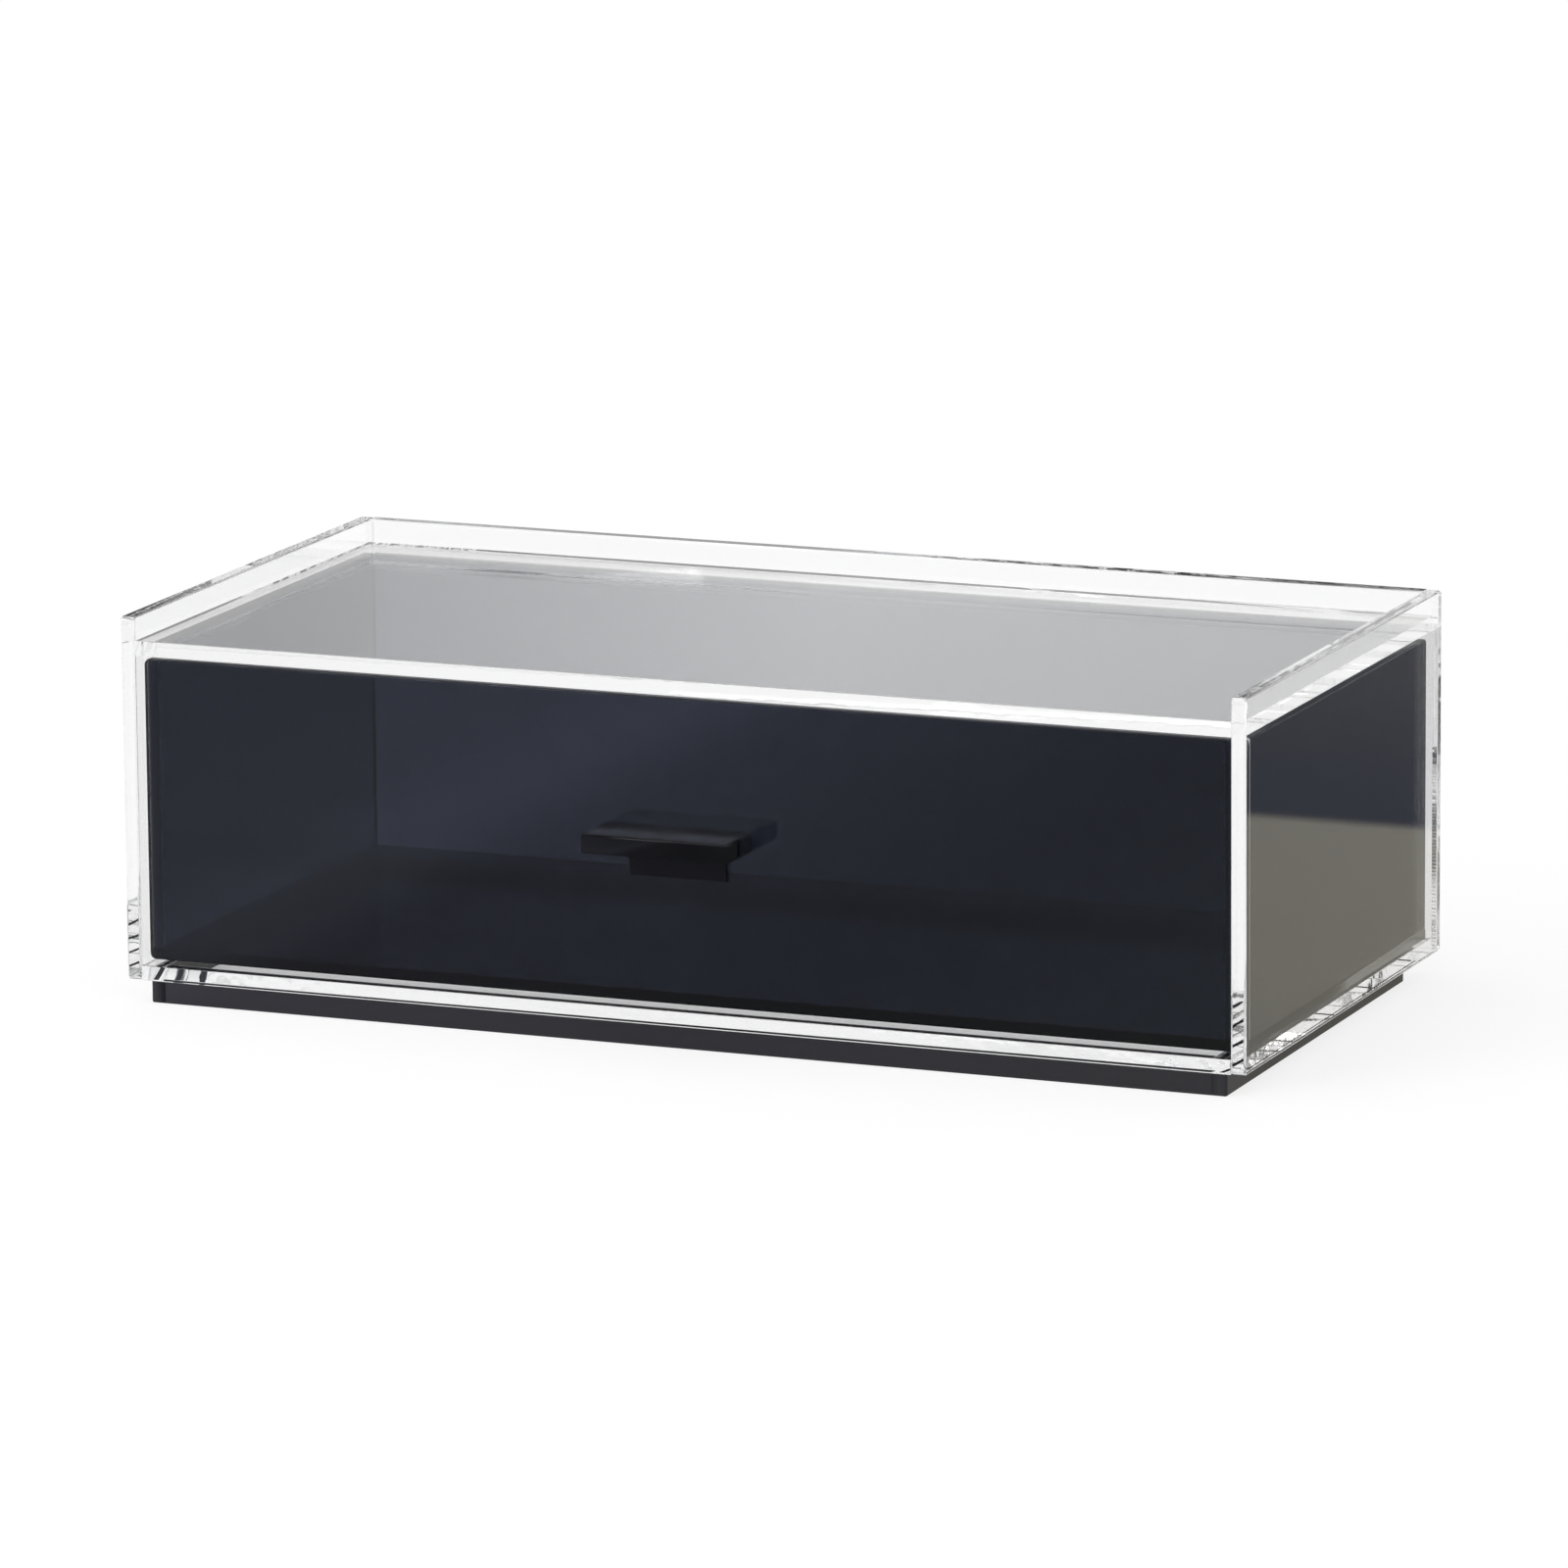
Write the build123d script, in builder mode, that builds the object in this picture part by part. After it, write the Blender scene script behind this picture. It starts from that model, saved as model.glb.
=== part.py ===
from build123d import *

import os

# Stacking cosmetic organizer: a clear case open at the front, one tinted drawer, a dark plinth.
# The ground is Z 0, the front looks along -Y, and X 0 is the middle of the width. Millimetres.

# Clear case, cemented from cut sheet
case_width = 300.0
case_depth = 146.0
case_height = 93.5
case_sheet = 4.0
rim_height = 6.0
case_corner_radius = 1.0
edge_polish = 0.4

# Plinth: a frame of strips that nests inside the rim of the organizer below
plinth_height = 6.0
plinth_strip = 4.0
plinth_side_inset = 5.6
plinth_front_inset = 2.0
plinth_rear_inset = 12.0
plinth_corner_radius = 0.8

# Drawer and its running clearances
drawer_sheet = 3.0
drawer_recess = 4.2
drawer_back_gap = 3.4
drawer_side_gap = 0.4
drawer_top_gap = 1.3
drawer_slide_gap = 0.3
front_ground_gap = 0.4
front_corner_radius = 1.6
wall_corner_radius = 1.3

# Pull: a flat blade with a tapered leg under it
blade_width = 39.0
blade_depth = 16.0
blade_thickness = 5.0
blade_rise = 3.9
blade_polish = 0.5
leg_width = 26.0
leg_height = 8.0
leg_root_thickness = 2.5
leg_tip_thickness = 1.0

# The origin is under the middle of everything, and the blade reaches out past the case front
blade_overhang = max(0.0, blade_depth - drawer_recess)
case_front_y = (blade_overhang - case_depth) / 2
case_rear_y = case_front_y + case_depth
case_mid_y = (case_front_y + case_rear_y) / 2

# Heights of the case
case_base_z = plinth_height
rim_z = case_base_z + case_height
case_mid_z = (case_base_z + rim_z) / 2
case_floor_z = case_base_z + case_sheet
deck_top_z = rim_z - rim_height
deck_underside_z = deck_top_z - case_sheet

# Space between the case sides
bay_width = case_width - 2 * case_sheet
bay_depth = case_depth - case_sheet
bay_mid_y = case_front_y + bay_depth / 2

# Places of the drawer
drawer_width = bay_width - 2 * drawer_side_gap
drawer_inner_width = drawer_width - 2 * drawer_sheet
drawer_front_y = case_front_y + drawer_recess
drawer_wall_y = drawer_front_y + drawer_sheet
drawer_rear_y = case_rear_y - case_sheet - drawer_back_gap
drawer_base_z = case_floor_z + drawer_slide_gap
drawer_floor_z = drawer_base_z + drawer_sheet
drawer_top_z = deck_underside_z - drawer_top_gap
front_base_z = drawer_base_z + front_ground_gap
front_height = drawer_top_z - front_base_z
wall_depth = drawer_rear_y - drawer_wall_y
wall_height = drawer_top_z - drawer_floor_z
wall_mid_y = (drawer_wall_y + drawer_rear_y) / 2

# Places of the pull
blade_mid_z = front_base_z + front_height / 2 + blade_rise
blade_base_z = blade_mid_z - blade_thickness / 2


def write_piece(builder, name):
    """Labels a finished piece and writes it under its own name."""
    builder.part.label = name
    export_step(builder.part, f"parts/{name}.step")
    size = builder.part.bounding_box().size
    print(f"{name}: {size.X:.2f} x {size.Y:.2f} x {size.Z:.2f} mm")


os.makedirs("parts", exist_ok=True)

# Case sides: full height and depth, rounded at the corners, polished round the outer face
for name, outer_x, inward in (
    ("case_left_side", -case_width / 2, 1),
    ("case_right_side", case_width / 2, -1),
):
    with BuildPart() as case_side:
        with BuildSketch(Plane.YZ.offset(outer_x)):
            with Locations((case_mid_y, case_mid_z)):
                RectangleRounded(case_depth, case_height, case_corner_radius)
        extrude(amount=inward * case_sheet)
        outer_face = case_side.faces().sort_by(Axis.X)[0 if inward > 0 else -1]
        fillet(outer_face.edges(), radius=edge_polish)
    write_piece(case_side, name)

# Case back: stands between the sides, its top edge finishes the rim
with BuildPart() as case_back:
    with BuildSketch(Plane.XZ.offset(-case_rear_y)):
        with Locations((0, case_mid_z)):
            Rectangle(bay_width, case_height)
    extrude(amount=case_sheet)
    rim_edges = case_back.faces().sort_by(Axis.Z)[-1].edges().filter_by(Axis.X)
    foot_edge = case_back.faces().sort_by(Axis.Y)[-1].edges().sort_by(Axis.Z)[0]
    fillet(rim_edges + [foot_edge], radius=edge_polish)
write_piece(case_back, "case_back")

# Deck and case bottom: lie between the sides and butt against the back
for name, underside_z in (("deck", deck_underside_z), ("case_bottom", case_base_z)):
    with BuildPart() as shelf:
        with BuildSketch(Plane.XY.offset(underside_z)):
            with Locations((0, bay_mid_y)):
                Rectangle(bay_width, bay_depth)
        extrude(amount=case_sheet)
        front_edges = shelf.faces().sort_by(Axis.Y)[0].edges().filter_by(Axis.X)
        fillet(front_edges, radius=edge_polish)
    write_piece(shelf, name)

# Plinth: two strips run the full depth, and two fit between them
plinth_outer_x = case_width / 2 - plinth_side_inset
plinth_front_y = case_front_y + plinth_front_inset
plinth_rear_y = case_rear_y - plinth_rear_inset
plinth_depth = plinth_rear_y - plinth_front_y
plinth_mid_y = (plinth_front_y + plinth_rear_y) / 2
plinth_inner_width = 2 * (plinth_outer_x - plinth_strip)

for name, side in (("plinth_left", -1), ("plinth_right", 1)):
    with BuildPart() as side_strip:
        with BuildSketch(Plane.XY):
            with Locations((side * (plinth_outer_x - plinth_strip / 2), plinth_mid_y)):
                Rectangle(plinth_strip, plinth_depth)
        extrude(amount=plinth_height)
        outer_corners = side_strip.edges().filter_by(Axis.Z).sort_by(Axis.X)
        fillet(outer_corners[:2] if side < 0 else outer_corners[-2:], radius=plinth_corner_radius)
    write_piece(side_strip, name)

for name, strip_y in (
    ("plinth_front", plinth_front_y + plinth_strip / 2),
    ("plinth_back", plinth_rear_y - plinth_strip / 2),
):
    with BuildPart() as cross_strip:
        with BuildSketch(Plane.XY):
            with Locations((0, strip_y)):
                Rectangle(plinth_inner_width, plinth_strip)
        extrude(amount=plinth_height)
    write_piece(cross_strip, name)

# Drawer front: covers the ends of the walls and of the drawer bottom
with BuildPart() as drawer_front:
    with BuildSketch(Plane.XZ.offset(-drawer_front_y)):
        with Locations((0, front_base_z + front_height / 2)):
            RectangleRounded(drawer_width, front_height, front_corner_radius)
    extrude(amount=-drawer_sheet)
    show_face = drawer_front.faces().sort_by(Axis.Y)[0]
    fillet(show_face.edges(), radius=edge_polish)
write_piece(drawer_front, "drawer_front")

# Drawer bottom: runs under the walls, rounded in plan at its rear corners
with BuildPart() as drawer_bottom:
    with BuildSketch(Plane.XY.offset(drawer_base_z)):
        with Locations((0, wall_mid_y)):
            Rectangle(drawer_width, wall_depth)
    extrude(amount=drawer_sheet)
    rear_corners = drawer_bottom.edges().filter_by(Axis.Z).sort_by(Axis.Y)[-2:]
    fillet(rear_corners, radius=edge_polish)
write_piece(drawer_bottom, "drawer_bottom")

# Drawer sides: stand on the bottom, rounded at the top rear corner
for name, outer_x, inward in (
    ("drawer_left", -drawer_width / 2, 1),
    ("drawer_right", drawer_width / 2, -1),
):
    with BuildPart() as drawer_side:
        with BuildSketch(Plane.YZ.offset(outer_x)):
            with Locations((wall_mid_y, drawer_floor_z + wall_height / 2)):
                Rectangle(wall_depth, wall_height)
            top_rear = vertices().group_by(Axis.Y)[-1].sort_by(Axis.X)[-1]
            fillet(top_rear, radius=wall_corner_radius)
        extrude(amount=inward * drawer_sheet)
        rear_face = drawer_side.faces().sort_by(Axis.Y)[-1]
        outer_rear_edge = rear_face.edges().filter_by(Axis.Z).sort_by(Axis.X)[0 if inward > 0 else -1]
        fillet(outer_rear_edge, radius=edge_polish)
    write_piece(drawer_side, name)

# Drawer back: fits between the drawer sides
with BuildPart() as drawer_back:
    with BuildSketch(Plane.XZ.offset(-drawer_rear_y)):
        with Locations((0, drawer_floor_z + wall_height / 2)):
            Rectangle(drawer_inner_width, wall_height)
    extrude(amount=drawer_sheet)
    top_rear_edge = drawer_back.faces().sort_by(Axis.Y)[-1].edges().sort_by(Axis.Z)[-1]
    fillet(top_rear_edge, radius=wall_corner_radius)
write_piece(drawer_back, "drawer_back")

# Pull blade: cemented by its rear edge, polished on every edge that a finger meets
with BuildPart() as handle_blade:
    with BuildSketch(Plane.XY.offset(blade_base_z)):
        with Locations((0, drawer_front_y - blade_depth / 2)):
            Rectangle(blade_width, blade_depth)
    extrude(amount=blade_thickness)
    grip_edges = handle_blade.faces().sort_by(Axis.Y)[0].edges()
    end_edges = handle_blade.faces().filter_by(Axis.X).edges().filter_by(Axis.Y)
    fillet(grip_edges + end_edges, radius=blade_polish)
write_piece(handle_blade, "handle_blade")

# Pull leg: thick under the blade and thin at its foot, so that its face leans to the drawer front
with BuildPart() as handle_leg:
    with BuildSketch(Plane.YZ.offset(-leg_width / 2)):
        with BuildLine():
            Polyline(
                (drawer_front_y, blade_base_z),
                (drawer_front_y - leg_root_thickness, blade_base_z),
                (drawer_front_y - leg_tip_thickness, blade_base_z - leg_height),
                (drawer_front_y, blade_base_z - leg_height),
                close=True,
            )
        make_face()
    extrude(amount=leg_width)
    foot_edge = handle_leg.faces().sort_by(Axis.Z)[0].edges().sort_by(Axis.Y)[0]
    fillet(foot_edge, radius=blade_polish)
write_piece(handle_leg, "handle_leg")
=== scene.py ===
"""Dresses a stacking cosmetic organizer: clear case, tinted drawer, dark pull and plinth.

Every sheet is cut by one Geometry Nodes tree to the size of the solid that it stands for.
Lengths are in metres: X is the width, the front looks along -Y, and the ground is at Z 0.
"""

import logging
import math
from dataclasses import dataclass, field, replace
from enum import Enum

import bmesh
import bpy
from mathutils import Matrix, Vector

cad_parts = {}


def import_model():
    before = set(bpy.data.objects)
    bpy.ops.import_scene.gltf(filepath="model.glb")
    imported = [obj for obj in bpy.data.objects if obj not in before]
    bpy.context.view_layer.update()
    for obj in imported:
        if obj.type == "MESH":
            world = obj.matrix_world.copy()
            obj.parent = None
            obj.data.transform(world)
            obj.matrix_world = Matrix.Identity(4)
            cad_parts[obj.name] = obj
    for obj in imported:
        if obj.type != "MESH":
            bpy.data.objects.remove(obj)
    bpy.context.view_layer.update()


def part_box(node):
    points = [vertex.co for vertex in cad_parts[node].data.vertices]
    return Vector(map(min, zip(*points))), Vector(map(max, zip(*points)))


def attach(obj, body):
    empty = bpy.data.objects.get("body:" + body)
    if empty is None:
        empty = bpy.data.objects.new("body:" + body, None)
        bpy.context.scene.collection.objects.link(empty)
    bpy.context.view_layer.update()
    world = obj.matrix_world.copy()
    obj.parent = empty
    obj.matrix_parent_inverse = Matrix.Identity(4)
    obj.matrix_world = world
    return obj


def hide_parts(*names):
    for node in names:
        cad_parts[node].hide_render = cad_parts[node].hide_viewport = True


MM = 0.001
BEVEL_ATTRIBUTE = "bevel_weight_edge"
CUT_ATTRIBUTE = "cut_edge"

# Each sheet is cut this much smaller all round, so that cemented faces don't coincide.
CEMENT_GAP = 0.02 * MM

# How far off the middle of a joint its faces are looked for, and how far from its borders.
CEMENT_REACH = 0.1 * MM
CEMENT_LIP = 0.15 * MM
LONG_STRIP_LIP = 1.3 * MM

# Tolerances of the cutting table, and the pull of the large faces on their normals.
MERGE_DISTANCE = 0.001 * MM
BORDER_REACH = 0.01 * MM
FLAT_WEIGHT = 100

# Cast acrylic: how it bends light, what passes straight through, and its smudges.
ACRYLIC_IOR = 1.49
PASSING_LIGHT = (0.99, 0.99, 0.99)
DENSITY_MARGIN = 1.2
SMUDGE_DETAIL = 4.0
SMUDGE_RANGE = (0.35, 0.75)
RIPPLE_DETAIL = 1.0

# A card shows in up to three mirrorings, or behind at least five crossings of a surface.
EDGE_MIRRORS = 3.5
TINT_CROSSINGS = 4.5

# Light has to cross many sheets before it ends.
LIGHT_BOUNCES = 64
CLEAR_BOUNCES = 96
WHITE = (1.0, 1.0, 1.0)

Colour = tuple[float, float, float]
Socket = bpy.types.NodeSocket

log = logging.getLogger("organizer")


class Body(Enum):
    """The two rigid bodies of the organizer."""

    CASE = "case"
    DRAWER = "drawer"


class Slot(Enum):
    """Material slots that the record names."""

    CLEAR = "clear_acrylic"
    TINT = "navy_tint"
    SOLID = "navy_solid"


class Lie(Enum):
    """How a sheet lies: the axes of its length, breadth and thickness."""

    FLAT = "XYZ"
    FACING = "XZY"
    SIDEWAYS = "YZX"

    def axes(self) -> tuple[int, int, int]:
        """Returns the indices of the axes of length, breadth and thickness."""
        return tuple("XYZ".index(letter) for letter in self.value)

    def turn(self) -> Matrix:
        """Turns the cutting table to the way the sheet lies.

        Returns:
            The rotation.
        """
        rows = {
            Lie.FLAT: ((1, 0, 0), (0, 1, 0), (0, 0, 1)),
            Lie.FACING: ((1, 0, 0), (0, 0, -1), (0, 1, 0)),
            Lie.SIDEWAYS: ((0, 0, 1), (1, 0, 0), (0, 1, 0)),
        }
        return Matrix(rows[self]).to_4x4()


@dataclass
class NodeDesk:
    """Adds nodes to a tree, sets them and links them."""

    tree: bpy.types.NodeTree

    def add(self, kind: str, inputs: dict | None = None, **settings: object) -> bpy.types.Node:
        """Adds one node.

        Args:
            kind: the node's type name.
            inputs: values or output sockets, by input name or index.
            settings: properties of the node itself.

        Returns:
            The new node.
        """
        node = self.tree.nodes.new(kind)
        for name, value in settings.items():
            setattr(node, name, value)
        for key, value in (inputs or {}).items():
            if isinstance(value, bpy.types.NodeSocket):
                self.tree.links.new(value, node.inputs[key])
            else:
                node.inputs[key].default_value = value
        return node

    def math(self, operation: str, first: object, second: object = 0.0) -> Socket:
        """Adds a math node and returns its output."""
        return self.add("ShaderNodeMath", {0: first, 1: second}, operation=operation).outputs[0]

    def vector_math(self, operation: str, first: object, second: object = (0.0, 0.0, 0.0)) -> Socket:
        """Adds a vector math node and returns its output."""
        inputs = {0: first, 1: second}
        return self.add("ShaderNodeVectorMath", inputs, operation=operation).outputs["Vector"]

    def pick(self, factor: Socket, low: object, high: object) -> Socket:
        """Mixes two numbers by a factor and returns the output."""
        return self.add("ShaderNodeMix", {0: factor, 2: low, 3: high}, data_type="FLOAT").outputs[0]

    def spread(self, value: Socket, given: tuple[float, float], wanted: tuple[float, float]) -> Socket:
        """Maps a value from one range to another and returns the output."""
        ends = dict(zip(("From Min", "From Max", "To Min", "To Max"), (*given, *wanted)))
        return self.add("ShaderNodeMapRange", {"Value": value, **ends}).outputs["Result"]

    def blend(self, factor: Socket, low: object, high: object) -> Socket:
        """Mixes two colours by a factor and returns the output."""
        return self.add("ShaderNodeMix", {0: factor, 6: low, 7: high}, data_type="RGBA").outputs[2]

    def noise(self, place: Socket, scale: float, detail: float = 2.0) -> Socket:
        """Adds a noise texture and returns its value."""
        return self.add("ShaderNodeTexNoise", {"Vector": place, "Scale": scale, "Detail": detail}).outputs[0]


def opaque(colour: Colour) -> tuple[float, float, float, float]:
    """Returns a colour with full alpha."""
    return (*colour, 1.0)


def empty_material(label: str) -> tuple[bpy.types.Material, NodeDesk]:
    """Makes a material without nodes.

    Args:
        label: its name.

    Returns:
        The material, and a desk for its tree.
    """
    material = bpy.data.materials.new(label)
    material.use_nodes = True
    material.node_tree.nodes.clear()
    return material, NodeDesk(material.node_tree)


@dataclass(frozen=True)
class Joint:
    """A cemented joint between two solids, and its twin on the other side of the middle."""

    first: str
    second: str
    lip: float = CEMENT_LIP

    def share(self, desk: NodeDesk, place: Socket) -> Socket:
        """Marks the joint's faces.

        Args:
            desk: the material's desk.
            place: the shaded point, with X counted from the middle.

        Returns:
            1 on the two faces that the cement holds together, and 0 elsewhere.
        """
        (low, high), (other_low, other_high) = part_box(self.first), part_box(self.second)
        low = Vector(map(max, low, other_low))
        high = Vector(map(min, high, other_high))
        half = [
            CEMENT_REACH if size < CEMENT_REACH else size / 2 - self.lip
            for size in high - low
        ]
        off = desk.vector_math("SUBTRACT", place, (low + high) / 2)
        off = desk.vector_math("SUBTRACT", desk.vector_math("ABSOLUTE", off), half)
        x, y, z = desk.add("ShaderNodeSeparateXYZ", {0: off}).outputs
        return desk.math("LESS_THAN", desk.math("MAXIMUM", desk.math("MAXIMUM", x, y), z), 0.0)


@dataclass(frozen=True)
class AcrylicFinish:
    """Polished acrylic sheet: its faces, its cut edges and the light that it takes.

    The colour drifts a little over the sheet. The faces carry faint smudges and hairline
    wear, and the cut edges show the ripples that polishing leaves. Light passes from sheet
    to sheet through the cement of a joint. Cut edges may carry painted shade: a dark, opaque colour.
    """

    label: str
    slot: Slot
    colour: Colour
    colour_drift: float = 0.01
    transmission: float = 1.0
    through_sheet: Colour | None = None
    sheet_thickness: float = 3 * MM
    face_roughness: tuple[float, float] = (0.0, 0.012)
    edge_roughness: float = 0.03
    cloud_scale: float = 9.0
    smudge_scale: float = 21.0
    hair_scale: float = 1100.0
    hair_stretch: float = 0.05
    hair_depth: float = 0.0004 * MM
    ripple_pitch: float = 4.0 * MM
    ripple_depth: float = 0.006 * MM
    shine: float = 0.5
    painted_cut_shade: Colour | None = None
    joints: tuple[Joint, ...] = ()
    joint_colour: Colour | None = None

    def build(self) -> bpy.types.Material:
        """Makes the material.

        Returns:
            The node material, which reads Object coordinates and the cut-edge attribute.
        """
        material, desk = empty_material(self.label)
        place = desk.add("ShaderNodeTexCoord").outputs["Object"]
        cut = desk.add("ShaderNodeAttribute", attribute_name=CUT_ATTRIBUTE).outputs["Fac"]
        joined = self._joined(desk, place)
        colour = self._colour(desk, place)
        clear = desk.math("ADD", self.transmission)
        # Painted shade: cut edges take a near-black colour and pass no light, so they show as dark lines.
        if self.painted_cut_shade:
            colour = desk.blend(cut, colour, opaque(self.painted_cut_shade))
            clear = desk.math("MULTIPLY", clear, desk.math("SUBTRACT", 1.0, cut))
        if self.joint_colour:
            colour = desk.blend(joined, colour, opaque(self.joint_colour))
            clear = desk.math("MULTIPLY", clear, desk.math("SUBTRACT", 1.0, joined))
        shader = desk.add(
            "ShaderNodeBsdfPrincipled",
            {
                "Base Color": colour,
                "Roughness": self._roughness(desk, place, cut),
                "Normal": self._relief(desk, place, cut),
                "IOR": ACRYLIC_IOR,
                "Transmission Weight": clear,
                "Specular IOR Level": desk.spread(joined, (0.0, 1.0), (self.shine, 0.0)),
            },
        )
        ends = {"Surface": shader.outputs[0]}
        if self.transmission > 0:
            passing = None if self.joint_colour else joined
            ends["Surface"] = self._pass_light(desk, shader.outputs[0], passing)
        if self.through_sheet:
            ends["Volume"] = self._absorption(desk)
        desk.add("ShaderNodeOutputMaterial", ends)
        return material

    def _colour(self, desk: NodeDesk, place: Socket) -> Socket:
        """Colours the sheet.

        Args:
            desk: the material's desk.
            place: the shaded point.

        Returns:
            The colour with the slow drift of cast sheet.
        """
        low = opaque(tuple(channel * (1 - self.colour_drift) for channel in self.colour))
        high = opaque(tuple(min(1.0, channel * (1 + self.colour_drift)) for channel in self.colour))
        return desk.blend(desk.noise(place, self.cloud_scale), low, high)

    def _roughness(self, desk: NodeDesk, place: Socket, cut: Socket) -> Socket:
        """Sets how dull the sheet is.

        Args:
            desk: the material's desk.
            place: the shaded point.
            cut: 1 on cut edges, and 0 elsewhere.

        Returns:
            The roughness: smudged faces, and cut edges with a duller polish.
        """
        smudges = desk.noise(place, self.smudge_scale, SMUDGE_DETAIL)
        face = desk.spread(smudges, SMUDGE_RANGE, self.face_roughness)
        return desk.math("ADD", face, desk.math("MULTIPLY", cut, self.edge_roughness))

    def _relief(self, desk: NodeDesk, place: Socket, cut: Socket) -> Socket:
        """Adds the fine relief.

        Args:
            desk: the material's desk.
            place: the shaded point.
            cut: 1 on cut edges, and 0 elsewhere.

        Returns:
            The normal: hairline wear everywhere, polishing ripples on cut edges.
        """
        scale = (1.0, self.hair_stretch, self.hair_stretch)
        streak = desk.add("ShaderNodeMapping", {"Vector": place, "Scale": scale}).outputs[0]
        hair = desk.noise(streak, self.hair_scale)
        wear = desk.add("ShaderNodeBump", {"Height": hair, "Distance": self.hair_depth}).outputs[0]
        wave = desk.math("MULTIPLY", desk.noise(place, 1 / self.ripple_pitch, RIPPLE_DETAIL), cut)
        ripple = {"Height": wave, "Distance": self.ripple_depth, "Normal": wear}
        return desk.add("ShaderNodeBump", ripple).outputs[0]

    def _joined(self, desk: NodeDesk, place: Socket) -> Socket:
        """Marks the cemented joints on both sides of the middle.

        Args:
            desk: the material's desk.
            place: the shaded point.

        Returns:
            1 on the faces of cemented joints, and 0 elsewhere.
        """
        x, y, z = desk.add("ShaderNodeSeparateXYZ", {0: place}).outputs
        folded = desk.add("ShaderNodeCombineXYZ", {0: desk.math("ABSOLUTE", x), 1: y, 2: z}).outputs[0]
        share = desk.add("ShaderNodeValue").outputs[0]
        for joint in self.joints:
            share = desk.math("MAXIMUM", share, joint.share(desk, folded))
        return share

    def _pass_light(self, desk: NodeDesk, surface: Socket, joined: Socket | None) -> Socket:
        """Lets lamp light, and the light in a joint, pass straight through.

        Args:
            desk: the material's desk.
            surface: the shader.
            joined: 1 on joints, or None where they are milky.

        Returns:
            The shader with its clear share.
        """
        path = desk.add("ShaderNodeLightPath").outputs["Is Shadow Ray"]
        clear = desk.add("ShaderNodeBsdfTransparent", {"Color": opaque(PASSING_LIGHT)}).outputs[0]
        share = desk.math("MAXIMUM", path, joined) if joined else path
        return desk.add("ShaderNodeMixShader", {0: share, 1: surface, 2: clear}).outputs[0]

    def _absorption(self, desk: NodeDesk) -> Socket:
        """Tints the inside of the sheet.

        Args:
            desk: the material's desk.

        Returns:
            The volume that takes the sheet's tint off the light, by length.
        """
        taken = [-math.log(channel) / self.sheet_thickness for channel in self.through_sheet]
        density = DENSITY_MARGIN * max(taken)
        kept = opaque(tuple(1 - part / density for part in taken))
        return desk.add("ShaderNodeVolumeAbsorption", {"Color": kept, "Density": density}).outputs[0]


PLINTH_JOINTS = (
    Joint("case_bottom", "plinth_front"),
    Joint("case_bottom", "plinth_back", lip=LONG_STRIP_LIP),
    Joint("case_bottom", "plinth_right", lip=LONG_STRIP_LIP),
)
CASE_JOINTS = (
    Joint("case_right_side", "deck"),
    Joint("case_right_side", "case_bottom"),
    Joint("case_right_side", "case_back"),
    Joint("deck", "case_back"),
)

CLEAR_SHEET = AcrylicFinish(
    "clear_acrylic_sheet",
    Slot.CLEAR,
    colour=(0.992, 0.992, 0.993),
    through_sheet=(0.9994, 0.9994, 0.9994),
    sheet_thickness=4 * MM,
    ripple_depth=0.03 * MM,
    joints=(*CASE_JOINTS, *PLINTH_JOINTS),
)
TINTED_SHEET = AcrylicFinish(
    "navy_tinted_sheet",
    Slot.TINT,
    colour=(0.97, 0.97, 0.98),
    through_sheet=(0.150, 0.164, 0.204),
    edge_roughness=0.05,
    # Painted shade on the cut edges: near-black and opaque, which draws dark lines along them.
    painted_cut_shade=(0.010, 0.011, 0.015),
    joints=(Joint("drawer_front", "drawer_right", lip=0.0),),
    joint_colour=(0.90, 0.90, 0.90),
)
PLINTH_SHEET = AcrylicFinish(
    "navy_plinth_strip",
    Slot.SOLID,
    colour=(0.036, 0.034, 0.041),
    colour_drift=0.15,
    transmission=0.0,
    face_roughness=(0.05, 0.14),
    edge_roughness=0.08,
    joints=PLINTH_JOINTS,
)
PULL_SHEET = AcrylicFinish(
    "navy_polished_pull",
    Slot.SOLID,
    colour=(0.0030, 0.0031, 0.0045),
    colour_drift=0.15,
    transmission=0.0,
    face_roughness=(0.03, 0.07),
    edge_roughness=0.01,
    smudge_scale=90.0,
    shine=0.28,
)
# Painted light: the leg is the pull's finish painted lighter, so that the dark patch under the blade fades
# into the drawer front like a soft shade.
LEG_SHEET_PAINTED_LIGHTER = replace(PULL_SHEET, label="navy_leg_painted_lighter", colour=(0.0075, 0.0070, 0.0105))


@dataclass(frozen=True)
class SheetOrder:
    """One sheet to cut: the solid that it stands for, how it lies and its free borders.

    The free borders are letters: l and r for the ends of the length, b and t for the ends of
    the breadth. A corner between two free borders is rounded. Where a flame polished the cut
    edges, they are a little domed.
    """

    piece: str
    node: str
    lie: Lie
    finish: AcrylicFinish
    body: Body
    free: str = ""
    corner_radius: float = 0.0
    polish: float = 0.4 * MM
    domed: bool = False


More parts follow.
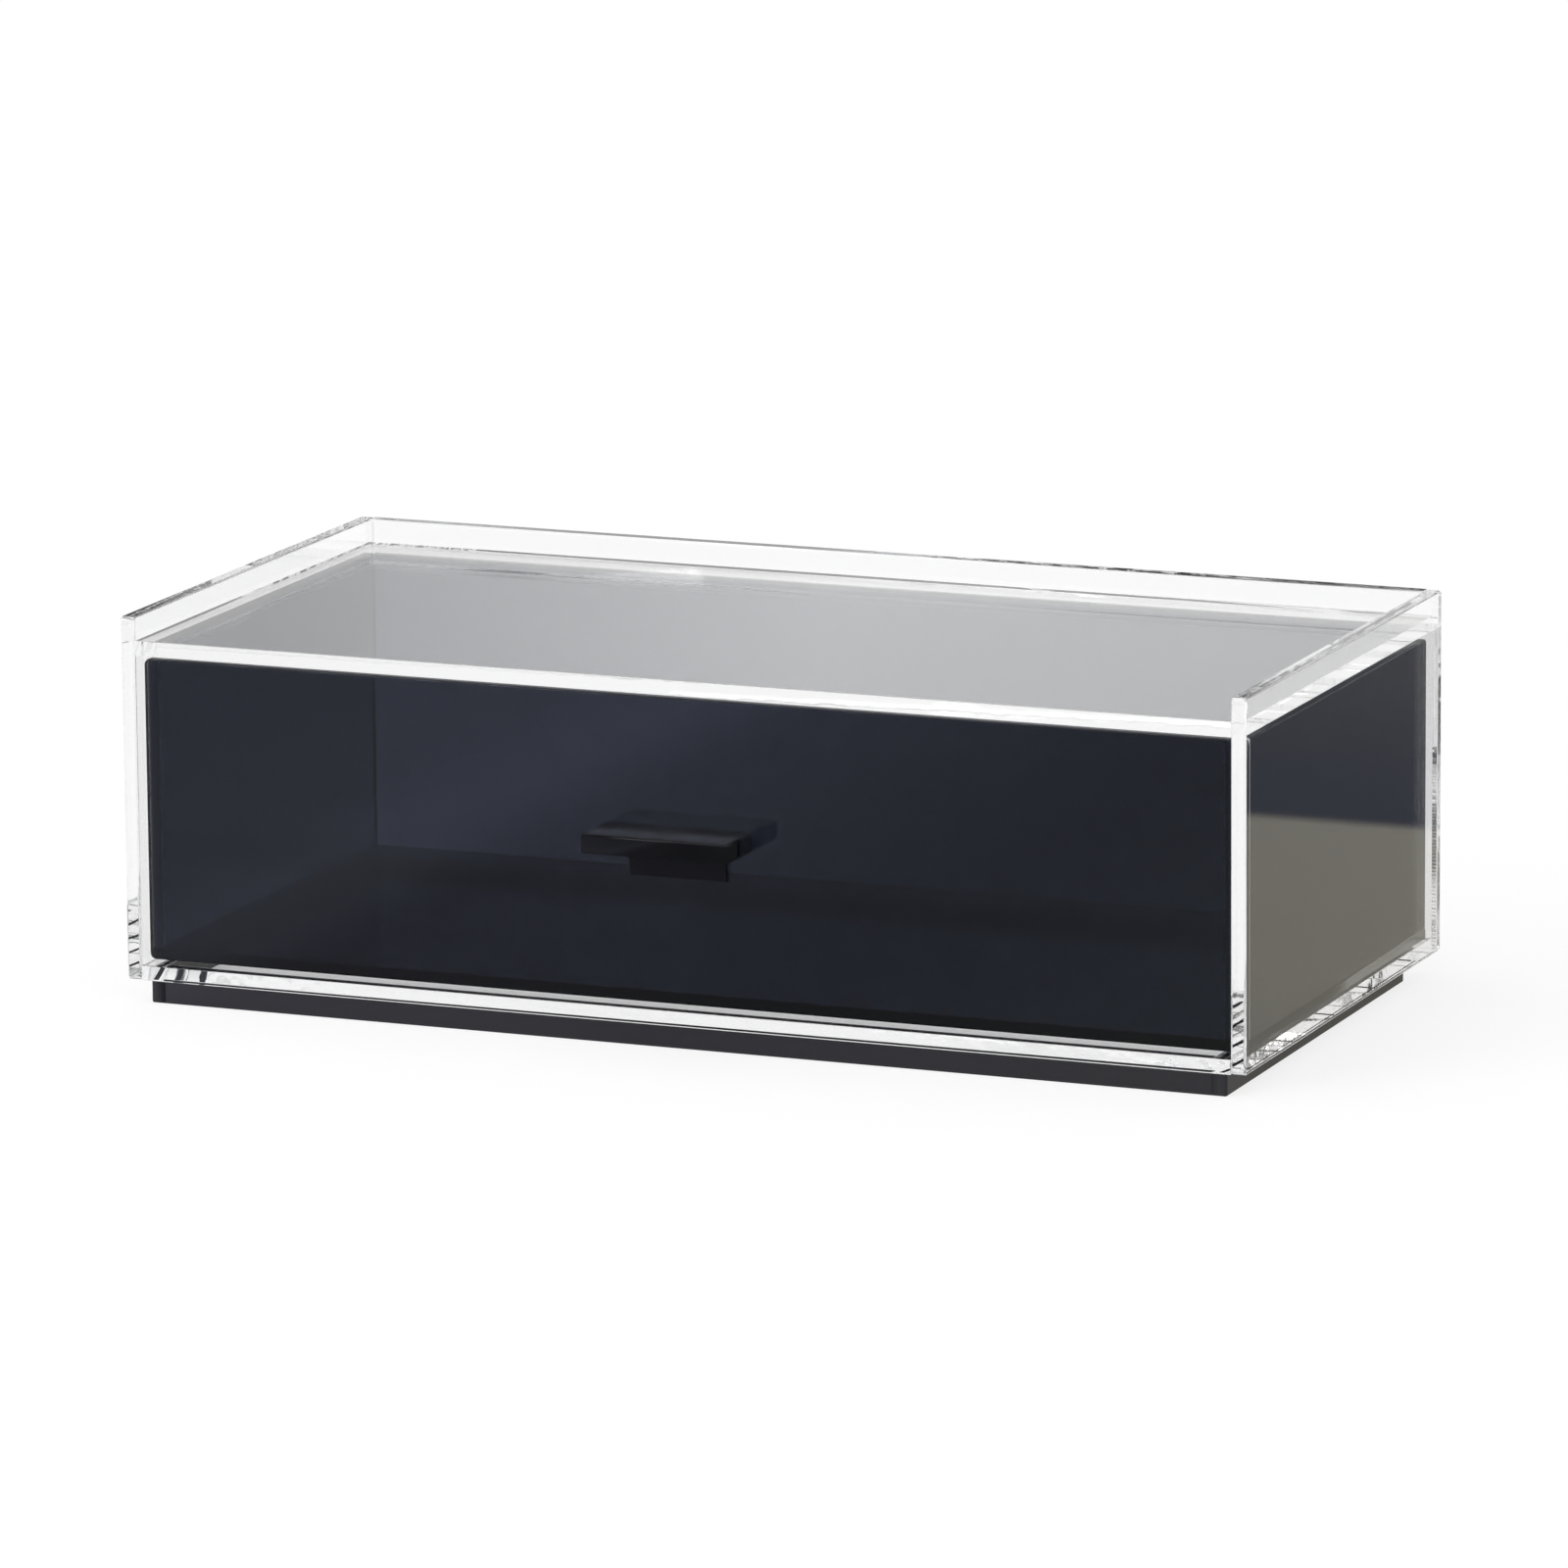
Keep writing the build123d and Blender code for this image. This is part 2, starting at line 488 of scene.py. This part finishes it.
@dataclass
class SheetCutter:
    """The Geometry Nodes tree that cuts a sheet and marks its borders for the polish."""

    corner_steps: int = 5
    joint_share: float = 0.2
    polish_steps: int = 3
    hard_angle: float = 0.7
    no_hard_angle: float = math.pi
    tree: bpy.types.NodeTree = field(init=False)
    sockets: dict[str, str] = field(init=False, default_factory=dict)

    SIZES = ("Length", "Breadth", "Thickness", "Corner Radius", "Joint Share", "Hard Angle")
    BORDERS = {"Free Left": "l", "Free Right": "r", "Free Low": "b", "Free High": "t"}

    def __post_init__(self) -> None:
        """Builds the tree once."""
        self.tree = bpy.data.node_groups.new("cut_sheet", "GeometryNodeTree")
        face = self.tree.interface
        face.new_socket("Geometry", in_out="OUTPUT", socket_type="NodeSocketGeometry")
        face.new_socket("Geometry", in_out="INPUT", socket_type="NodeSocketGeometry")
        kinds = {name: "NodeSocketFloat" for name in (*self.SIZES, *self.BORDERS)}
        kinds.update({"Corner Steps": "NodeSocketInt", "Finish": "NodeSocketMaterial"})
        for name, kind in kinds.items():
            self.sockets[name] = face.new_socket(name, in_out="INPUT", socket_type=kind).identifier
        self._wire()

    def _wire(self) -> None:
        """Wires the outline, the thickness, the marks for the polish and the finish."""
        desk = NodeDesk(self.tree)
        given = desk.add("NodeGroupInput").outputs
        place = desk.add("GeometryNodeInputPosition").outputs[0]
        along, across, up = desk.add("ShaderNodeSeparateXYZ", {0: place}).outputs
        blank = self._blank(desk, given, along, across)
        closed = self._thicken(desk, given, blank)
        weight = self._polish_weight(desk, given, (along, across, up))
        marks = {"Geometry": closed, "Name": BEVEL_ATTRIBUTE, "Value": weight}
        marked = desk.add("GeometryNodeStoreNamedAttribute", marks, data_type="FLOAT", domain="EDGE")
        smooth = desk.add("GeometryNodeSetShadeSmooth", {0: marked.outputs[0]})
        bend = desk.add("GeometryNodeInputMeshEdgeAngle").outputs["Unsigned Angle"]
        unpolished = desk.math("LESS_THAN", weight, 0.5 * self.joint_share)
        hard = desk.math("MULTIPLY", desk.math("GREATER_THAN", bend, given["Hard Angle"]), unpolished)
        sharp = {"Geometry": smooth.outputs[0], "Selection": hard, "Shade Smooth": False}
        creased = desk.add("GeometryNodeSetShadeSmooth", sharp, domain="EDGE")
        real = desk.add("GeometryNodeRealizeInstances", {0: creased.outputs[0]})
        finish = {"Geometry": real.outputs[0], "Material": given["Finish"]}
        dressed = desk.add("GeometryNodeSetMaterial", finish)
        desk.add("NodeGroupOutput", {0: dressed.outputs[0]})

    def _blank(self, desk: NodeDesk, given: bpy.types.NodeOutputs, along: Socket, across: Socket) -> Socket:
        """Draws the sheet before it has a thickness.

        Args:
            desk: the tree's desk.
            given: the tree's inputs.
            along: the place along the length.
            across: the place along the breadth.

        Returns:
            The flat outline, with round corners between free borders.
        """
        sizes = {"Width": given["Length"], "Height": given["Breadth"]}
        outline = desk.add("GeometryNodeCurvePrimitiveQuadrilateral", sizes).outputs[0]
        both = desk.math(
            "MULTIPLY",
            self._by_sign(desk, along, given["Free Right"], given["Free Left"]),
            self._by_sign(desk, across, given["Free High"], given["Free Low"]),
        )
        radius = desk.math("MULTIPLY", both, given["Corner Radius"])
        corners = {"Curve": outline, "Radius": radius, "Count": given["Corner Steps"]}
        rounded = desk.add("GeometryNodeFilletCurve", corners, mode="POLY").outputs[0]
        return desk.add("GeometryNodeFillCurve", {"Curve": rounded}, mode="NGONS").outputs[0]

    def _thicken(self, desk: NodeDesk, given: bpy.types.NodeOutputs, blank: Socket) -> Socket:
        """Gives the outline its thickness.

        Args:
            desk: the tree's desk.
            given: the tree's inputs.
            blank: the flat outline.

        Returns:
            The closed sheet, with its cut faces marked.
        """
        half = desk.math("MULTIPLY", given["Thickness"], -0.5)
        drop = desk.add("ShaderNodeCombineXYZ", {"Z": half}).outputs[0]
        base = desk.add("GeometryNodeTransform", {"Geometry": blank, "Translation": drop}).outputs[0]
        lift = desk.add("ShaderNodeCombineXYZ", {"Z": 1.0}).outputs[0]
        growth = {"Mesh": base, "Offset": lift, "Offset Scale": given["Thickness"], "Individual": False}
        raised = desk.add("GeometryNodeExtrudeMesh", growth, mode="FACES").outputs
        side = desk.math("ADD", raised["Side"])
        marks = {"Geometry": raised["Mesh"], "Name": CUT_ATTRIBUTE, "Value": side}
        marked = desk.add("GeometryNodeStoreNamedAttribute", marks, data_type="FLOAT", domain="FACE")
        under = desk.add("GeometryNodeFlipFaces", {"Mesh": base}).outputs[0]
        joined = desk.add("GeometryNodeJoinGeometry", {0: marked.outputs[0]})
        self.tree.links.new(under, joined.inputs[0])
        whole = {0: joined.outputs[0], "Distance": MERGE_DISTANCE}
        return desk.add("GeometryNodeMergeByDistance", whole).outputs[0]

    @staticmethod
    def _by_sign(desk: NodeDesk, along: Socket, above: Socket, below: Socket) -> Socket:
        """Returns above where along is positive, and below elsewhere."""
        return desk.pick(desk.math("GREATER_THAN", along, 0.0), below, above)

    def _polish_weight(self, desk: NodeDesk, given: bpy.types.NodeOutputs, place: tuple) -> Socket:
        """Shares out the polish.

        Args:
            desk: the tree's desk.
            given: the tree's inputs.
            place: the place along the length, the breadth and the thickness.

        Returns:
            Each edge's share of the polish: all on free borders, a little on joints.
        """
        along, across, up = place
        quarter = desk.math("MULTIPLY", given["Thickness"], 0.25)
        on_face = desk.math("GREATER_THAN", desk.math("ABSOLUTE", up), quarter)
        share = given["Joint Share"]
        for way, size, above, below in (
            (along, given["Length"], given["Free Right"], given["Free Left"]),
            (across, given["Breadth"], given["Free High"], given["Free Low"]),
        ):
            reach = desk.math("SUBTRACT", desk.math("MULTIPLY", size, 0.5), given["Corner Radius"])
            inside = desk.math("SUBTRACT", reach, BORDER_REACH)
            at_border = desk.math("GREATER_THAN", desk.math("ABSOLUTE", way), inside)
            free = desk.math("MULTIPLY", at_border, self._by_sign(desk, way, above, below))
            share = desk.math("MAXIMUM", share, free)
        return desk.math("MULTIPLY", on_face, share)

    def cut(self, order: SheetOrder, material: bpy.types.Material) -> bpy.types.Object:
        """Cuts one sheet to the size and place of its solid.

        Args:
            order: what to cut.
            material: the sheet's finish.

        Returns:
            A plain mesh object at the origin, with its place in its mesh.
        """
        low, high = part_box(order.node)
        sizes = [(high - low)[axis] - 2 * CEMENT_GAP for axis in order.lie.axes()]
        hard_angle = self.no_hard_angle if order.domed else self.hard_angle
        values = dict(zip(self.SIZES, (*sizes, order.corner_radius, self.joint_share, hard_angle)))
        values.update({name: float(letter in order.free) for name, letter in self.BORDERS.items()})
        values.update({"Corner Steps": self.corner_steps, "Finish": material})
        piece = new_object(order.piece, bpy.data.meshes.new(order.piece))
        recipe = piece.modifiers.new("cut", "NODES")
        recipe.node_group = self.tree
        for name, value in values.items():
            recipe[self.sockets[name]] = value
        add_polish(piece, order.polish, self.polish_steps, "WEIGHT", order.domed)
        harvest(piece)
        piece.data.transform(Matrix.Translation((low + high) / 2) @ order.lie.turn())
        return piece


def new_object(name: str, data: bpy.types.ID) -> bpy.types.Object:
    """Makes an object and puts it in the scene.

    Args:
        name: its name.
        data: its mesh, lamp or camera.

    Returns:
        The object.
    """
    made = bpy.data.objects.new(name, data)
    bpy.context.scene.collection.objects.link(made)
    return made


def add_polish(piece: bpy.types.Object, width: float, steps: int, limit: str, domed: bool = False) -> None:
    """Rounds a piece's edges with a bevel.

    Args:
        piece: the piece.
        width: the polish's width.
        steps: the bevel's segments.
        limit: WEIGHT for marked edges, NONE for all.
        domed: leaves the narrow faces domed in the shading, and else they stay flat there.
    """
    polish = piece.modifiers.new("polish", "BEVEL")
    polish.limit_method = limit
    polish.width = width
    polish.segments = steps
    if domed:
        polish.harden_normals = True
        return
    flat = piece.modifiers.new("flat_faces", "WEIGHTED_NORMAL")
    flat.mode = "FACE_AREA"
    flat.weight = FLAT_WEIGHT
    flat.keep_sharp = True


def harvest(piece: bpy.types.Object) -> None:
    """Turns a piece with live modifiers into a plain mesh under the same name.

    Args:
        piece: the piece.
    """
    bpy.context.view_layer.update()
    graph = bpy.context.evaluated_depsgraph_get()
    mesh = bpy.data.meshes.new_from_object(piece.evaluated_get(graph), depsgraph=graph)
    mesh.name = piece.name
    piece.modifiers.clear()
    piece.data = mesh


@dataclass
class ClearCase:
    """The clear case: two sides, a back, a deck and a bottom, cemented edge to face."""

    corner_radius: float = 1.2 * MM
    rim_polish: float = 0.6 * MM

    def orders(self) -> list[SheetOrder]:
        """Lists the five sheets.

        Returns:
            Their orders.
        """
        sides = [
            SheetOrder(f"{hand}_side_sheet", f"case_{hand}_side", Lie.SIDEWAYS, CLEAR_SHEET, Body.CASE,
                       "lrbt", self.corner_radius, self.rim_polish, domed=True)
            for hand in ("left", "right")
        ]
        return [
            *sides,
            SheetOrder("back_sheet", "case_back", Lie.FACING, CLEAR_SHEET, Body.CASE, "bt",
                       polish=self.rim_polish, domed=True),
            SheetOrder("deck_sheet", "deck", Lie.FLAT, CLEAR_SHEET, Body.CASE, "b", domed=True),
            SheetOrder("bottom_sheet", "case_bottom", Lie.FLAT, CLEAR_SHEET, Body.CASE, "b"),
        ]


@dataclass
class Plinth:
    """The dark frame of four strips under the case."""

    corner_radius: float = 0.8 * MM

    def orders(self) -> list[SheetOrder]:
        """Lists the four strips.

        Returns:
            Their orders.
        """
        long_strips = [
            SheetOrder(f"{hand}_plinth_strip", f"plinth_{hand}", Lie.FLAT, PLINTH_SHEET, Body.CASE,
                       f"{hand[0]}bt", self.corner_radius)
            for hand in ("left", "right")
        ]
        cross_strips = [
            SheetOrder(f"{end}_plinth_strip", f"plinth_{end}", Lie.FLAT, PLINTH_SHEET, Body.CASE, "bt")
            for end in ("front", "back")
        ]
        return [*long_strips, *cross_strips]


@dataclass
class Drawer:
    """The tinted open-top drawer."""

    front_corner_radius: float = 1.6 * MM
    wall_corner_radius: float = 1.3 * MM

    def orders(self) -> list[SheetOrder]:
        """Lists the five sheets.

        Returns:
            Their orders.
        """
        walls = [
            SheetOrder(f"drawer_{hand}_sheet", f"drawer_{hand}", Lie.SIDEWAYS, TINTED_SHEET, Body.DRAWER,
                       "rt", self.wall_corner_radius)
            for hand in ("left", "right")
        ]
        return [
            SheetOrder("drawer_front_sheet", "drawer_front", Lie.FACING, TINTED_SHEET, Body.DRAWER, "lrbt",
                       self.front_corner_radius),
            *walls,
            SheetOrder("drawer_back_sheet", "drawer_back", Lie.FACING, TINTED_SHEET, Body.DRAWER, "t"),
            SheetOrder("drawer_bottom_sheet", "drawer_bottom", Lie.FLAT, TINTED_SHEET, Body.DRAWER, "lrt"),
        ]


@dataclass
class Pull:
    """The pull: a flat blade and the tapered leg under it."""

    blade_polish: float = 0.6 * MM
    leg_tip: float = 1.0 * MM
    leg_polish: float = 0.4 * MM
    leg_polish_steps: int = 3

    def orders(self) -> list[SheetOrder]:
        """Lists the one flat sheet.

        Returns:
            The order for the blade.
        """
        return [
            SheetOrder("pull_blade", "handle_blade", Lie.FLAT, PULL_SHEET, Body.DRAWER, "lrb",
                       polish=self.blade_polish)
        ]

    def build_leg(self, material: bpy.types.Material) -> bpy.types.Object:
        """Builds the leg, thick under the blade and thin at its foot.

        Args:
            material: the leg's finish.

        Returns:
            The finished leg.
        """
        low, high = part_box("handle_leg")
        low, high = low + Vector((CEMENT_GAP,) * 3), high - Vector((CEMENT_GAP,) * 3)
        profile = (
            (high.y, high.z),
            (low.y, high.z),
            (high.y - self.leg_tip, low.z),
            (high.y, low.z),
        )
        shape = bmesh.new()
        left, right = ([shape.verts.new((x, y, z)) for y, z in profile] for x in (low.x, high.x))
        shape.faces.new(left)
        shape.faces.new(right)
        for here in range(len(profile)):
            after = (here + 1) % len(profile)
            shape.faces.new((left[here], left[after], right[after], right[here]))
        bmesh.ops.recalc_face_normals(shape, faces=shape.faces)
        for face in shape.faces:
            face.smooth = True
        mesh = bpy.data.meshes.new("pull_leg")
        shape.to_mesh(mesh)
        shape.free()
        mesh.materials.append(material)
        leg = new_object("pull_leg", mesh)
        add_polish(leg, self.leg_polish, self.leg_polish_steps, "NONE")
        harvest(leg)
        return leg


@dataclass
class Workshop:
    """Makes the finishes and the cutter, and turns orders into finished pieces."""

    cutter: SheetCutter = field(default_factory=SheetCutter)
    materials: dict[str, bpy.types.Material] = field(default_factory=dict)

    def dress(self, finish: AcrylicFinish) -> bpy.types.Material:
        """Makes a finish's material the first time that it is asked for.

        Args:
            finish: the finish.

        Returns:
            The material.
        """
        if finish.label not in self.materials:
            self.materials[finish.label] = finish.build()
        return self.materials[finish.label]

    def fill(self, order: SheetOrder) -> None:
        """Cuts the sheet of one order and delivers it."""
        piece = self.cutter.cut(order, self.dress(order.finish))
        self.deliver(piece, order.node, order.body)

    def deliver(self, piece: bpy.types.Object, node: str, body: Body) -> None:
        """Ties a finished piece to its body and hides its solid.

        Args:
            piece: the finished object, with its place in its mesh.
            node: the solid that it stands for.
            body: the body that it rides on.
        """
        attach(piece, body.value)
        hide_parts(node)
        log.info("%s: %d faces, rides on %s", piece.name, len(piece.data.polygons), body.value)


@dataclass
class PhotoCamera:
    """The photograph's viewpoint, as a long lens looking down at the front right corner."""

    azimuth: float = 22.39
    elevation: float = 12.03
    roll: float = -0.47
    lens_mm: float = 240.5
    sensor_mm: float = 36.0
    distance: float = 2.658
    aside: float = 0.67 * MM
    above_target: float = 51.68 * MM
    clip: tuple[float, float] = (0.05, 100.0)

    def build(self, target: Vector) -> None:
        """Makes the camera.

        Args:
            target: the point on the ground under the middle of the case.
        """
        turn, rise = math.radians(self.azimuth), math.radians(self.elevation)
        back = Vector((math.sin(turn) * math.cos(rise), -math.cos(turn) * math.cos(rise), math.sin(rise)))
        level = Vector((0, 0, 1)).cross(back).normalized()
        tilt = Matrix.Rotation(math.radians(self.roll), 3, back)
        right, above = tilt @ level, tilt @ back.cross(level)
        data = bpy.data.cameras.new("camera")
        data.lens, data.sensor_width = self.lens_mm, self.sensor_mm
        data.clip_start, data.clip_end = self.clip
        camera = new_object("camera", data)
        frame = Matrix((right, above, back)).transposed().to_4x4()
        frame.translation = target + back * self.distance - right * self.aside + above * self.above_target
        camera.matrix_world = frame
        bpy.context.scene.camera = camera


class Shows(Enum):
    """Where a card shows: in a polished face, or through the tinted sheets."""

    MIRRORED = "mirrored"
    THROUGH_TINT = "through_tint"

    def share(self, desk: NodeDesk) -> Socket:
        """Picks the rays that a card shows to.

        Args:
            desk: the material's desk.

        Returns:
            1 for the rays that see such a card, and 0 for the others.
        """
        path = desk.add("ShaderNodeLightPath").outputs
        mirrors, crossings = path["Glossy Depth"], path["Transmission Depth"]
        if self is Shows.MIRRORED:
            once = desk.math("GREATER_THAN", mirrors, 0.5)
            return desk.math("MULTIPLY", once, desk.math("LESS_THAN", mirrors, EDGE_MIRRORS))
        straight = desk.math("LESS_THAN", mirrors, 0.5)
        return desk.math("MULTIPLY", straight, desk.math("GREATER_THAN", crossings, TINT_CROSSINGS))


@dataclass(frozen=True)
class Card:
    """A level card beside the organizer that only its polished or tinted sheets show.

    The stops are places along one axis, 0 for X and 1 for Y, with the card's colour there.
    """

    label: str
    low: tuple[float, float]
    high: tuple[float, float]
    axis: int
    stops: tuple[tuple[float, Colour], ...]
    shows: Shows = Shows.MIRRORED
    lift: float = 0.05 * MM

    def build(self) -> None:
        """Lays the card."""
        card = level_plane(self.label, self.low, self.high, self.lift)
        card.visible_diffuse = False
        card.visible_shadow = False
        material, desk = empty_material(self.label)
        place = desk.add("ShaderNodeTexCoord").outputs["Object"]
        along = desk.add("ShaderNodeSeparateXYZ", {0: place}).outputs[self.axis]
        glow = desk.add("ShaderNodeEmission", {"Color": self._colour(desk, along)}).outputs[0]
        clear = desk.add("ShaderNodeBsdfTransparent").outputs[0]
        shown = desk.add("ShaderNodeMixShader", {0: self.shows.share(desk), 1: clear, 2: glow}).outputs[0]
        desk.add("ShaderNodeOutputMaterial", {"Surface": shown})
        card.data.materials.append(material)

    def _colour(self, desk: NodeDesk, along: Socket) -> Socket:
        """Colours the card.

        Args:
            desk: the material's desk.
            along: the place along the card's axis.

        Returns:
            The colour that runs smoothly from stop to stop.
        """
        first, last = self.stops[0][0], self.stops[-1][0]
        ramp = desk.add("ShaderNodeValToRGB", {0: desk.spread(along, (first, last), (0.0, 1.0))})
        band = ramp.color_ramp
        band.interpolation = "EASE"
        for spot, colour in self.stops:
            share = (spot - first) / (last - first)
            ends = {first: band.elements[0], last: band.elements[-1]}
            stop = ends.get(spot) or band.elements.new(share)
            stop.color = opaque(colour)
        return ramp.outputs[0]


def level_plane(name: str, low: tuple, high: tuple, height: float) -> bpy.types.Object:
    """Makes a level rectangle for the stage.

    Args:
        name: its name.
        low: its lowest X and Y.
        high: its highest X and Y.
        height: its Z.

    Returns:
        The object.
    """
    mesh = bpy.data.meshes.new(name)
    corners = [(low[0], low[1]), (high[0], low[1]), (high[0], high[1]), (low[0], high[1])]
    mesh.from_pydata([(x, y, height) for x, y in corners], [], [(0, 1, 2, 3)])
    plane = new_object(name, mesh)
    return plane


@dataclass(frozen=True)
class Softbox:
    """A square lamp that hangs at one place and faces another."""

    label: str
    place: tuple[float, float, float]
    aim: tuple[float, float, float]
    size: float
    watts: float

    def build(self) -> None:
        """Hangs the lamp."""
        data = bpy.data.lights.new(self.label, "AREA")
        data.shape = "SQUARE"
        data.size = self.size
        data.energy = self.watts
        lamp = new_object(self.label, data)
        lamp.location = self.place
        lamp.rotation_euler = (Vector(self.aim) - Vector(self.place)).to_track_quat("-Z", "Y").to_euler()


@dataclass
class Studio:
    """A white table, soft lamps, white surroundings, cards that the polish mirrors, and a painted shadow
    behind.
    """

    floor_reach: float = 15.0
    floor_height: float = -0.01 * MM
    grain_scale: float = 60.0
    grain_detail: float = 3.0
    grain_level: float = 0.004
    floor_glow: float = 0.80
    floor_shade: float = 0.24
    shade_reach: tuple[float, float] = (0.28, 0.75)
    floor_albedo: float = 0.8
    world_light: float = 0.55
    ceiling_level: float = 0.12
    ceiling_height: tuple[float, float] = (0.25, 0.38)
    horizon_levels: tuple[float, float] = (0.60, 0.88)
    horizon_places: tuple[float, float] = (-0.42, -0.37)
    softboxes: tuple[Softbox, ...] = (
        Softbox("top_softbox", (-0.15, -0.1, 1.3), aim=(0.0, 0.0, 0.05), size=1.1, watts=5.0),
        Softbox("front_softbox", (-1.3, -1.6, 1.1), aim=(0.0, 0.0, 0.05), size=1.2, watts=16.0),
    )
    cards: tuple[Card, ...] = (
        Card(
            "front_card",
            low=(-2.0, -2.0),
            high=(0.6, -0.06),
            axis=0,
            stops=(
                (-0.30, (0.40, 0.41, 0.47)),
                (-0.21, (0.44, 0.45, 0.51)),
                (-0.165, (0.52, 0.55, 0.65)),
                (-0.12, (0.30, 0.30, 0.35)),
                (0.01, (0.23, 0.24, 0.26)),
                (0.15, (0.28, 0.31, 0.30)),
            ),
        ),
        Card(
            "right_card",
            low=(0.14, -0.06),
            high=(0.2965, 2.0),
            axis=1,
            stops=(
                (-0.06, (0.345, 0.330, 0.290)),
                (0.10, (0.375, 0.355, 0.300)),
                (0.234, (0.385, 0.365, 0.315)),
                (0.248, (0.075, 0.08, 0.10)),
                (0.50, (0.12, 0.12, 0.13)),
            ),
        ),
        # Painted shadow: this card lies behind the organizer and shows only through the tinted sheets. It
        # runs from white on the left to half grey on the right, in place of the organizer's shadow on the
        # table.
        Card(
            "rear_painted_shadow_card",
            low=(-0.6, 0.085),
            high=(0.3, 0.7),
            axis=0,
            stops=((-0.20, (0.95, 0.95, 0.95)), (0.02, (0.50, 0.50, 0.48))),
            shows=Shows.THROUGH_TINT,
            lift=0.10 * MM,
        ),
    )

    def build(self) -> None:
        """Builds the floor, the cards, the lamps and the world."""
        self._floor()
        self._world()
        for item in (*self.softboxes, *self.cards):
            item.build()

    @staticmethod
    def _seen(desk: NodeDesk) -> Socket:
        """Picks the rays that show the background.

        Args:
            desk: the material's desk.

        Returns:
            1 for rays that go straight, are mirrored or pass through glass.
        """
        path = desk.add("ShaderNodeLightPath").outputs
        straight = desk.math("MAXIMUM", path["Is Camera Ray"], path["Is Glossy Ray"])
        return desk.math("MAXIMUM", straight, path["Is Transmission Ray"])

    def _floor(self) -> None:
        """Builds the floor: white where it is seen, with a soft shadow near the organizer."""
        reach = self.floor_reach
        floor = level_plane("floor", (-reach, -reach), (reach, reach), self.floor_height)
        material, desk = empty_material("white_table")
        place = desk.add("ShaderNodeTexCoord").outputs["Object"]
        away = desk.add("ShaderNodeVectorMath", {0: place}, operation="LENGTH").outputs["Value"]
        grain = desk.noise(place, self.grain_scale, self.grain_detail)
        grain = desk.math("MULTIPLY", grain, self.grain_level)
        level = desk.math("ADD", desk.spread(away, self.shade_reach, (self.floor_glow, 1.0)), grain)
        glow = desk.add("ShaderNodeEmission", {"Strength": level}).outputs[0]
        colour = desk.spread(away, self.shade_reach, (self.floor_shade, 0.0))
        shade = desk.add("ShaderNodeBsdfDiffuse", {"Color": colour}).outputs[0]
        shown = desk.add("ShaderNodeAddShader", {0: shade, 1: glow}).outputs[0]
        plain = desk.add("ShaderNodeBsdfDiffuse", {"Color": opaque((self.floor_albedo,) * 3)}).outputs[0]
        mixed = desk.add("ShaderNodeMixShader", {0: self._seen(desk), 1: plain, 2: shown}).outputs[0]
        desk.add("ShaderNodeOutputMaterial", {"Surface": mixed})
        floor.data.materials.append(material)

    def _world(self) -> None:
        """Makes the surroundings: a plain level of light, and where they are seen a white wall.

        Polished edges that bend the view upwards show a dark ceiling, which draws their lines.
        """
        world = bpy.data.worlds.new("studio")
        world.use_nodes = True
        world.node_tree.nodes.clear()
        bpy.context.scene.world = world
        desk = NodeDesk(world.node_tree)
        path = desk.add("ShaderNodeLightPath").outputs
        way = desk.add("ShaderNodeTexCoord").outputs["Object"]
        across, _, up = desk.add("ShaderNodeSeparateXYZ", {0: way}).outputs
        mirrored = Shows.MIRRORED.share(desk)
        horizon = desk.spread(across, self.horizon_places, self.horizon_levels)
        far = desk.pick(mirrored, 1.0, horizon)
        high = desk.spread(up, self.ceiling_height, (0.0, 1.0))
        bent = desk.pick(high, far, self.ceiling_level)
        shown = desk.pick(path["Is Camera Ray"], bent, 1.0)
        strength = desk.pick(self._seen(desk), self.world_light, shown)
        sky = desk.add("ShaderNodeBackground", {"Color": opaque(WHITE), "Strength": strength})
        desk.add("ShaderNodeOutputWorld", {"Surface": sky.outputs[0]})


def main() -> None:
    """Builds the organizer, its studio and its camera."""
    logging.basicConfig(level=logging.INFO, format="%(name)s: %(message)s")
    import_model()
    scene = bpy.context.scene
    scene.view_settings.view_transform = "Standard"
    scene.cycles.max_bounces = LIGHT_BOUNCES
    scene.cycles.transmission_bounces = LIGHT_BOUNCES
    scene.cycles.glossy_bounces = LIGHT_BOUNCES
    scene.cycles.transparent_max_bounces = CLEAR_BOUNCES

    workshop = Workshop()
    pull = Pull()
    for assembly in (ClearCase(), Plinth(), Drawer(), pull):
        for order in assembly.orders():
            workshop.fill(order)
    leg = pull.build_leg(workshop.dress(LEG_SHEET_PAINTED_LIGHTER))
    workshop.deliver(leg, "handle_leg", Body.DRAWER)

    Studio().build()
    low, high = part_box("case_left_side")
    PhotoCamera().build(Vector((0.0, (low.y + high.y) / 2, 0.0)))


if __name__ == "__main__":
    main()
